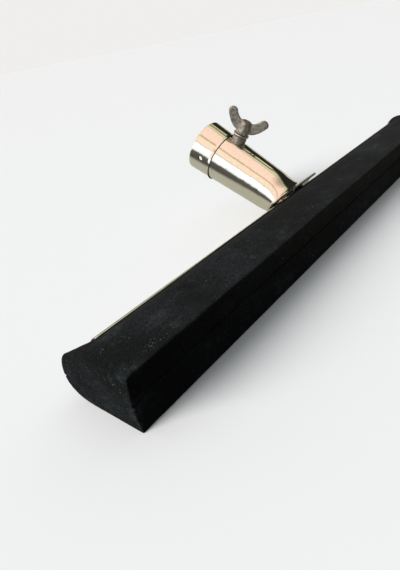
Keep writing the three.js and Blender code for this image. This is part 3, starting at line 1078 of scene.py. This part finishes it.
class AddMouthRing(bpy.types.Operator):
    """Builds the ring round the socket's mouth, with its cross hole"""

    bl_idname = "squeegee.add_mouth_ring"
    bl_label = "Mouth ring"

    def execute(self, context):
        scene = context.scene
        settings = scene.squeegee_socket
        origin = socket_origin(settings)
        low, high = span("mouth_ring", origin, SOCKET_ALONG)
        outer = reach("mouth_ring", origin, SOCKET_ALONG, low - MM, low + MM)
        thickness = outer - tube_radius(settings, low) - SHEET_GAP
        rows = []
        for along, rise in ring_section(low, high, thickness):
            lifted = settings.ring_lift * (1 - smoothstep(low, low + RING_LIFT_RUN, along))
            radius = tube_radius(settings, along) + SHEET_GAP + rise + lifted
            rows.append([tube_place(settings, along, radius, turn) for turn in around(RING_POINTS)])
        ring = grid_object("plated_ring", rows, wrap_rows=True)
        closed_and_smooth(ring)
        cross_drilled(ring, settings)
        closed_and_smooth(ring, 38)
        paint = bright_plating("bright_plating_ring", scene.squeegee_rail.tint, along=1)
        finished(ring, "head", "bright_steel", paint, "mouth_ring")
        # The base-side rim, its end face and a thin band beside it, is painted near black: painted
        # shade for the shadow in the gap under the rim.
        ring.data.materials.append(painted_shade_rim("painted_shade_rim"))
        for polygon in ring.data.polygons:
            if (polygon.center - origin).dot(SOCKET_ALONG) < low + SHADED_RIM_DEPTH:
                polygon.material_index = 1
        return {"FINISHED"}


# ------------------------------------------------------------------ boss, washer and wing screw


def screw_foot(settings):
    """Where the screw's axis crosses the handle's axis."""
    origin = socket_origin(settings)
    along = (SCREW_PIVOT - origin).dot(SOCKET_ALONG)
    return origin + along * SOCKET_ALONG


def screw_place(foot, radius, turn, height):
    """A point about the screw's axis. Turn 0 points along the handle's axis, to the mouth."""
    side = SCREW_AXIS.cross(SOCKET_ALONG)
    flat = radius * (math.cos(turn) * SOCKET_ALONG + math.sin(turn) * side)
    return foot + flat + height * SCREW_AXIS


def turned_object(name, foot, profile, segments=96, shape=None):
    """A ring-shaped piece from a closed profile of (radius, height) pairs about the screw axis."""
    rows = []
    for radius, height in profile:
        row = []
        for turn in around(segments):
            place = (radius, height) if shape is None else shape(radius, height, turn)
            row.append(screw_place(foot, place[0], turn, place[1]))
        rows.append(row)
    return grid_object(name, rows, wrap_rows=True)


BOSS_SPREAD = 0.9 * MM
BOSS_RING_GAP = 0.15 * MM
BOSS_TUBE_GAP = 0.02 * MM
BOSS_LUMP_SIZE = 2.4 * MM
BOSS_LUMP_HEIGHT = 0.16 * MM


def boss_object(settings, screw, foot):
    """The boss as a mesh: its foot follows the tube and spreads, but stops short of the ring."""
    hole = screw.radius + screw.clearance
    outer = reach("screw_boss", foot, SCREW_AXIS)
    top = span("screw_boss", foot, SCREW_AXIS)[1]
    along = (foot - socket_origin(settings)).dot(SOCKET_ALONG)
    ring_low = span("mouth_ring", socket_origin(settings), SOCKET_ALONG)[0]
    ring_gap = ring_low - along - BOSS_RING_GAP
    # A height of None lies on the tube, and a pair ("rise", height) stands that far above it.
    profile = [(hole, None), (outer + BOSS_SPREAD, None)]
    for step in range(1, 7):
        turn = math.pi / 2 * step / 6
        rise = BOSS_SPREAD * (1 - math.cos(turn))
        profile.append((outer + BOSS_SPREAD * (1 - math.sin(turn)), ("rise", rise)))
    edge = screw.boss_edge
    for step in range(8):
        turn = math.pi / 2 * step / 7
        profile.append((outer - edge * (1 - math.cos(turn)), top - edge * (1 - math.sin(turn))))
    profile += [(hole + 0.5 * MM, top), (hole + 0.1 * MM, top - 0.08 * MM), (hole, top - 0.5 * MM)]

    def shape(radius, height, turn):
        held = radius if radius * math.cos(turn) <= ring_gap else ring_gap / math.cos(turn)
        across = held * math.sin(turn)
        tube = tube_radius(settings, along + held * math.cos(turn))
        surface = math.sqrt(max(tube * tube - across * across, 0.0)) + BOSS_TUBE_GAP
        if height is None:
            place = surface
        elif isinstance(height, tuple):
            place = surface + height[1]
        else:
            place = height
        cast = radius > hole + 0.6 * MM and radius * math.cos(turn) < ring_gap
        grain = screw_place(Vector(), held, turn, place)
        lump = bumpy(grain, BOSS_LUMP_SIZE, BOSS_LUMP_HEIGHT) if cast else 0
        return held + lump, place

    return turned_object("cast_boss", foot, profile, shape=shape)


class AddBoss(bpy.types.Operator):
    """Builds the cast boss that carries the wing screw"""

    bl_idname = "squeegee.add_boss"
    bl_label = "Screw boss"

    def execute(self, context):
        scene = context.scene
        settings = scene.squeegee_socket
        boss = boss_object(settings, scene.squeegee_screw, screw_foot(settings))
        closed_and_smooth(boss, 50)
        paint = casting("boss_casting", scene.squeegee_screw.tint)
        finished(boss, "head", "cast_metal", paint, "screw_boss")
        return {"FINISHED"}


def washer_profile(inner, outer, low, high):
    """A closed washer section with eased edges."""
    ease = 0.2 * (high - low)
    return [
        (inner, low + ease),
        (inner + ease, low),
        (outer - ease, low),
        (outer - 0.3 * ease, low + 0.3 * ease),
        (outer, low + ease),
        (outer, high - ease),
        (outer - 0.3 * ease, high - 0.3 * ease),
        (outer - ease, high),
        (inner + ease, high),
        (inner, high - ease),
    ]


STUD_POINTS = 56
STUD_STEP = 0.08 * MM
STUD_CHAMFER = 0.8 * MM


def stud_object(screw, foot):
    """A threaded stud with a chamfered tip."""
    low, high = span("screw_stud", foot, SCREW_AXIS)
    rows = []
    for step in range(round((high - low) / STUD_STEP) + 1):
        height = min(low + step * STUD_STEP, high)
        chamfer = max(0.0, STUD_CHAMFER - (height - low))
        row = []
        for i, turn in enumerate(around(STUD_POINTS)):
            phase = (height / screw.pitch - i / STUD_POINTS) % 1.0
            depth = screw.thread_depth * min(1.0, max(0.0, 1.35 * abs(2 * phase - 1) - 0.1))
            radius = min(screw.radius - depth, screw.radius - chamfer)
            row.append(screw_place(foot, radius, turn, height))
        rows.append(row)
    return grid_object("threaded_stud", rows)


def wing_outline(screw, low, reach_out, top):
    """One wing's outline as (out, height) pairs, with a waist at the hub and a round tip."""
    tip = screw.wing_tip
    tip_out, tip_up = reach_out - tip, top - tip
    foot_up = low + 1.0 * MM
    root = Vector((screw.hub_radius, foot_up))
    belly = Vector((screw.hub_radius + 5 * MM, low + 2.2 * MM))
    outline = [Vector((0, foot_up)), root]
    outline += curve((root, belly, Vector((reach_out, tip_up))), 12)[1:]
    for step in range(1, 15):
        turn = 0.9 * math.pi * step / 14
        outline.append(Vector((tip_out + tip * math.cos(turn), tip_up + tip * math.sin(turn))))
    neck = Vector((screw.hub_top_radius - 0.4 * MM, low + screw.hub_height - 0.6 * MM))
    waist = Vector((screw.hub_top_radius + 2 * MM, low + screw.hub_height + 0.2 * MM))
    outline += curve((outline[-1], waist, neck), 12)[1:]
    outline.append(Vector((0, neck.y)))
    return outline


WING_LAYERS = ((-1, 0.86), (-0.8, 0.95), (-0.4, 1.0), (0.4, 1.0), (0.8, 0.95), (1, 0.86))
HUB_POINTS = 64
AXIS_RADIUS = 0.01 * MM
VOXEL = 0.2 * MM
SOFTENINGS = 7


def wing_rows(screw, foot, outline, turn):
    """Rows across a wing's thickness, smaller at its faces, so that the wing is softly rounded."""
    middle = sum(outline, Vector((0, 0))) / len(outline)
    side = screw_place(Vector(), 1.0, turn + math.pi / 2, 0.0)
    rows = []
    for share, size in WING_LAYERS:
        row = []
        for point in outline:
            eased = middle.lerp(point, size)
            place = screw_place(foot, eased.x, turn, eased.y)
            row.append(place + side * share * screw.wing_thickness / 2)
        rows.append(row)
    return rows


def wing_head_object(screw, foot):
    """The cast wing head: a hub and two wings run together, with the soft corners of a casting."""
    low, top = span("screw_wings", foot, SCREW_AXIS)
    reach_out = reach("screw_wings", foot, SCREW_AXIS)
    hub_high = low + screw.hub_height
    profile = [
        (AXIS_RADIUS, low),
        (screw.hub_radius, low),
        (screw.hub_radius, low + 1.5 * MM),
        (screw.hub_top_radius, hub_high - 0.6 * MM),
        (screw.hub_top_radius - 0.6 * MM, hub_high),
        (AXIS_RADIUS, hub_high),
    ]
    rows = []
    for radius, height in profile:
        rows.append([screw_place(foot, radius, turn, height) for turn in around(HUB_POINTS)])
    pieces = [grid_object("hub", rows)]
    outline = wing_outline(screw, low, reach_out - 0.1 * MM, top - 0.1 * MM)
    for side in (0, math.pi):
        turn = screw.wing_turn + side
        pieces.append(grid_object("wing", wing_rows(screw, foot, outline, turn)))
    for piece in pieces:
        closed_and_smooth(piece)
    head = joined("wing_head", pieces)
    remesh = head.modifiers.new("run together", "REMESH")
    remesh.mode = "VOXEL"
    remesh.voxel_size = VOXEL
    soften = head.modifiers.new("soften", "SMOOTH")
    soften.factor = 0.5
    soften.iterations = SOFTENINGS
    return applied(head)


def joined(name, pieces):
    """One object from several, with their meshes left as they are."""
    made = bmesh.new()
    for piece in pieces:
        made.from_mesh(piece.data)
        bpy.data.objects.remove(piece)
    mesh = bpy.data.meshes.new(name)
    made.to_mesh(mesh)
    made.free()
    return linked(name, mesh)


class AddWingScrew(bpy.types.Operator):
    """Builds the wing screw with its threaded stud, and the washer under its wings"""

    bl_idname = "squeegee.add_wing_screw"
    bl_label = "Wing screw"

    def execute(self, context):
        scene = context.scene
        screw = scene.squeegee_screw
        foot = screw_foot(scene.squeegee_socket)
        zinc = dull_zinc("dull_zinc_screw")
        low, high = span("screw_washer", foot, SCREW_AXIS)
        outer = reach("screw_washer", foot, SCREW_AXIS)
        inner = screw.radius + screw.clearance
        profile = washer_profile(inner, outer, low, high)
        washer = turned_object("plain_washer", foot, profile)
        closed_and_smooth(washer, 50)
        finished(washer, "screw_washer", "zinc_steel", zinc, "screw_washer")
        stud = stud_object(screw, foot)
        closed_and_smooth(stud, 60)
        finished(stud, "wing_screw", "zinc_steel", zinc, "screw_stud")
        head = wing_head_object(screw, foot)
        closed_and_smooth(head, 80)
        paint = casting("wing_casting", screw.tint)
        finished(head, "wing_screw", "cast_metal", paint, "screw_wings")
        return {"FINISHED"}


# ------------------------------------------------------------------ rivets


def rivet_tree():
    """One template placed at even steps along a line."""
    inputs = [
        ("Template", "Object"),
        ("First", "Vector"),
        ("Step", "Vector"),
        ("Count", "Int"),
        ("Material", "Material"),
    ]
    tree, source, out = new_tree("rivet_row", inputs)
    nodes, link = tree.nodes, tree.links.new
    line = nodes.new("GeometryNodeMeshLine")
    link(source.outputs["Count"], line.inputs["Count"])
    link(source.outputs["First"], line.inputs["Start Location"])
    link(source.outputs["Step"], line.inputs["Offset"])
    template = nodes.new("GeometryNodeObjectInfo")
    link(source.outputs["Template"], template.inputs["Object"])
    put = nodes.new("GeometryNodeInstanceOnPoints")
    link(line.outputs["Mesh"], put.inputs["Points"])
    link(template.outputs["Geometry"], put.inputs["Instance"])
    end_tree(tree, source, out, put.outputs["Instances"])
    return tree


RIVET_POINTS = 48
RIVET_SHANK = 1.6 * MM
RIVET_TAIL = 1.2 * MM
RIVET_BRIM = 0.1 * MM


def rivet_template(settings, rail, wall):
    """A domed rivet whose shank points to -Y, with the underside of its head at the origin."""
    depth = wall + rail.sheet + RIVET_TAIL
    profile = [(AXIS_RADIUS, -depth), (RIVET_SHANK, -depth), (RIVET_SHANK, 0.0)]
    profile.append((settings.head_radius - RIVET_BRIM, 0.0))
    for step in range(13):
        turn = math.pi / 2 * step / 12
        rise = settings.head_height * math.sin(turn)
        radius = max(settings.head_radius * math.cos(turn), AXIS_RADIUS)
        profile.append((radius, rise + RIVET_BRIM))
    rows = []
    for radius, height in profile:
        ring = [(radius * math.cos(turn), radius * math.sin(turn)) for turn in around(RIVET_POINTS)]
        rows.append([Vector((x, height, z)) for x, z in ring])
    template = grid_object("rivet_template", rows)
    closed_and_smooth(template, 50)
    return template


class AddRivets(bpy.types.Operator):
    """Builds the two domed rivets of the saddle"""

    bl_idname = "squeegee.add_rivets"
    bl_label = "Saddle rivets"

    def execute(self, context):
        scene = context.scene
        settings = scene.squeegee_rivets
        wall = scene.squeegee_socket.wall
        template = rivet_template(settings, scene.squeegee_rail, wall)
        under_head = RAIL_HIGH.y + 2 * SHEET_GAP + wall
        values = {
            "Template": template,
            "First": (-settings.spread / 2, under_head, rail_circle(scene.squeegee_rail)[1].z),
            "Step": (settings.spread, 0, 0),
            "Count": 2,
            "Material": dull_zinc("dull_zinc_rivets"),
        }
        rivets = object_from_tree("domed_rivets", rivet_tree(), values)
        bpy.data.objects.remove(template)
        names = ("saddle_rivet_left", "saddle_rivet_right")
        finished(rivets, "head", "zinc_steel", values["Material"], *names)
        return {"FINISHED"}


# ------------------------------------------------------------------ stage


def camera_matrix(settings):
    """The camera's place and turn from its azimuth, elevation, roll, distance and aim."""
    azimuth, elevation = settings.azimuth, settings.elevation
    back = Vector(
        (
            math.sin(azimuth) * math.cos(elevation),
            -math.cos(azimuth) * math.cos(elevation),
            math.sin(elevation),
        )
    )
    level = Vector((math.cos(azimuth), math.sin(azimuth), 0))
    up = back.cross(level)
    right = math.cos(settings.roll) * level - math.sin(settings.roll) * up
    place = Vector(settings.aim) + settings.distance * back
    turn = Matrix((right, back.cross(right), back)).transposed().to_4x4()
    return Matrix.Translation(place) @ turn


def add_camera(settings):
    data = bpy.data.cameras.new("camera")
    data.sensor_width = 36
    data.lens = settings.lens
    data.clip_start = 0.01
    camera = linked("camera", data)
    camera.matrix_world = camera_matrix(settings)
    bpy.context.scene.camera = camera


FLOOR_HALF = 40.0
FLOOR_DROP = 0.05 * MM
FLOOR_FADE = (-0.085, -0.05)  # along X, from dark to pale as the plating sees it


def add_floor(settings):
    """A large pale floor that looks duller in the plating than to the camera."""
    half = FLOOR_HALF
    corners = [(-half, -half), (half, -half), (half, half), (-half, half)]
    mesh = bpy.data.meshes.new("floor")
    level = CAD_BOX[0][2] - FLOOR_DROP
    mesh.from_pydata([(x, y, level) for x, y in corners], [], [(0, 1, 2, 3)])
    floor = linked("floor", mesh)
    paint = Painter("pale_floor")
    split = paint.nodes.new("ShaderNodeSeparateXYZ")
    paint.links.new(paint.place, split.inputs["Vector"])
    near = paint.ranged(split.outputs["X"], *FLOOR_FADE, 0.0, 1.0)
    dull = paint.mixed(near, (0.06, 0.058, 0.05), (0.50, 0.49, 0.40))
    seen = paint.nodes.new("ShaderNodeLightPath").outputs["Is Camera Ray"]
    paint.link(paint.mixed(seen, dull, settings.floor_tint), "Base Color")
    paint.set(Roughness=0.9)
    floor.data.materials.append(paint.material)


def add_sun(name, towards, power, softness, tint):
    data = bpy.data.lights.new(name, "SUN")
    data.energy = power
    data.angle = softness
    data.color = tint
    light = linked(name, data)
    light.rotation_euler = Vector(towards).to_track_quat("Z", "Y").to_euler()
    light.visible_glossy = False


# Each panel's place, as a share of a turn about the Y axis, and its colour.
PANEL_STRENGTH = 1.7
PANELS = (
    (0.000, (0.55, 0.58, 0.58)),
    (0.480, (0.40, 0.39, 0.34)),
    (0.530, (0.44, 0.43, 0.38)),
    (0.537, (0.012, 0.012, 0.010)),
    (0.622, (0.014, 0.014, 0.011)),
    (0.636, (0.24, 0.235, 0.145)),
    (0.655, (0.46, 0.45, 0.28)),
    (0.688, (0.47, 0.45, 0.30)),
    (0.702, (0.74, 0.53, 0.46)),
    (0.824, (0.76, 0.56, 0.46)),
    (0.829, (0.30, 0.28, 0.15)),
    (0.838, (0.32, 0.29, 0.16)),
    (0.845, (0.76, 0.58, 0.47)),
    (0.905, (0.74, 0.60, 0.48)),
    (0.913, (0.30, 0.31, 0.28)),
    (0.922, (1.00, 1.00, 1.00)),
    (0.972, (0.98, 1.00, 1.00)),
    (0.986, (0.60, 0.70, 0.72)),
    (1.000, (0.55, 0.58, 0.58)),
)


def background(tree, tint, strength):
    node = tree.nodes.new("ShaderNodeBackground")
    node.inputs["Color"].default_value = (*tint, 1)
    if strength is not None:
        tree.links.new(strength, node.inputs["Strength"])
    return node.outputs["Background"]


def either(tree, share, first, second):
    """A mix of two shaders."""
    node = tree.nodes.new("ShaderNodeMixShader")
    for value, socket in zip((share, first, second), node.inputs):
        tree.links.new(value, socket)
    return node.outputs["Shader"]


def add_sky(floor_tint):
    """Broad soft panels for the plating, soft cool light for the rest, and a plain pale wall."""
    world = bpy.data.worlds.new("studio")
    bpy.context.scene.world = world
    world.use_nodes = True
    tree = world.node_tree
    nodes, link = tree.nodes, tree.links.new
    where = nodes.new("ShaderNodeTexCoord")
    split = nodes.new("ShaderNodeSeparateXYZ")
    link(where.outputs["Generated"], split.inputs["Vector"])
    turn = nodes.new("ShaderNodeMath")
    turn.operation = "ARCTAN2"
    link(split.outputs["Z"], turn.inputs[0])
    link(split.outputs["X"], turn.inputs[1])
    share = map_range(tree, turn.outputs["Value"], -math.pi, math.pi, 0.0, 1.0)
    ramp = nodes.new("ShaderNodeValToRGB")
    elements = ramp.color_ramp.elements
    elements[0].position = PANELS[0][0]
    elements[1].position = PANELS[-1][0]
    for place, _ in PANELS[1:-1]:
        elements.new(place)
    for element, (_, tint) in zip(elements, PANELS):
        element.color = (*tint, 1)
    link(share, ramp.inputs["Fac"])

    def fading(*numbers):
        return map_range(tree, split.outputs["Y"], *numbers, "SMOOTHSTEP")

    panels = nodes["Background"]
    link(ramp.outputs["Color"], panels.inputs["Color"])
    link(fading(-0.75, -0.3, 0.1, PANEL_STRENGTH), panels.inputs["Strength"])
    soft = background(tree, (0.88, 0.95, 1.0), fading(-0.55, 0.15, 0.16, 0.7))
    wall = background(tree, floor_tint, None)
    path = nodes.new("ShaderNodeLightPath")
    lit = either(tree, path.outputs["Is Glossy Ray"], soft, panels.outputs["Background"])
    seen = either(tree, path.outputs["Is Camera Ray"], lit, wall)
    link(seen, nodes["World Output"].inputs["Surface"])


class AddStage(bpy.types.Operator):
    """Builds the floor, the lights and the camera"""

    bl_idname = "squeegee.add_stage"
    bl_label = "Stage"

    def execute(self, context):
        settings = context.scene.squeegee_stage
        context.scene.view_settings.view_transform = "Standard"
        add_camera(settings)
        add_floor(settings)
        add_sky(settings.floor_tint)
        add_sun("key", (-0.93, 0.38, 0.46), 4.4, math.radians(35), (1, 0.985, 0.97))
        return {"FINISHED"}


# ------------------------------------------------------------------ panel and registration


class SqueegeePanel(bpy.types.Panel):
    """Lists the squeegee's pieces and their settings"""

    bl_label = "Foam squeegee head"
    bl_idname = "VIEW3D_PT_squeegee"
    bl_space_type = "VIEW_3D"
    bl_region_type = "UI"
    bl_category = "Squeegee"

    def draw(self, context):
        for operator in OPERATORS:
            self.layout.operator(operator.bl_idname)
        for label, group in SETTINGS:
            box = self.layout.box()
            box.label(text=group.__name__)
            settings = getattr(context.scene, label)
            for name in group.__annotations__:
                box.prop(settings, name)


SETTINGS = (
    ("squeegee_rail", SqueegeeRail),
    ("squeegee_foam", SqueegeeFoam),
    ("squeegee_socket", SqueegeeSocket),
    ("squeegee_screw", SqueegeeScrew),
    ("squeegee_rivets", SqueegeeRivets),
    ("squeegee_stage", SqueegeeStage),
)
OPERATORS = (
    AddStage,
    AddRail,
    AddFoamBlades,
    AddSocket,
    AddWeldBeads,
    AddMouthRing,
    AddBoss,
    AddWingScrew,
    AddRivets,
)


def register():
    for label, group in SETTINGS:
        bpy.utils.register_class(group)
        setattr(bpy.types.Scene, label, bpy.props.PointerProperty(type=group))
    for operator in OPERATORS:
        bpy.utils.register_class(operator)
    bpy.utils.register_class(SqueegeePanel)


def unregister():
    bpy.utils.unregister_class(SqueegeePanel)
    for operator in reversed(OPERATORS):
        bpy.utils.unregister_class(operator)
    for label, group in reversed(SETTINGS):
        delattr(bpy.types.Scene, label)
        bpy.utils.unregister_class(group)


def main():
    register()
    for operator in OPERATORS:
        group, name = operator.bl_idname.split(".")
        getattr(getattr(bpy.ops, group), name)()


if __name__ == "__main__":
    main()
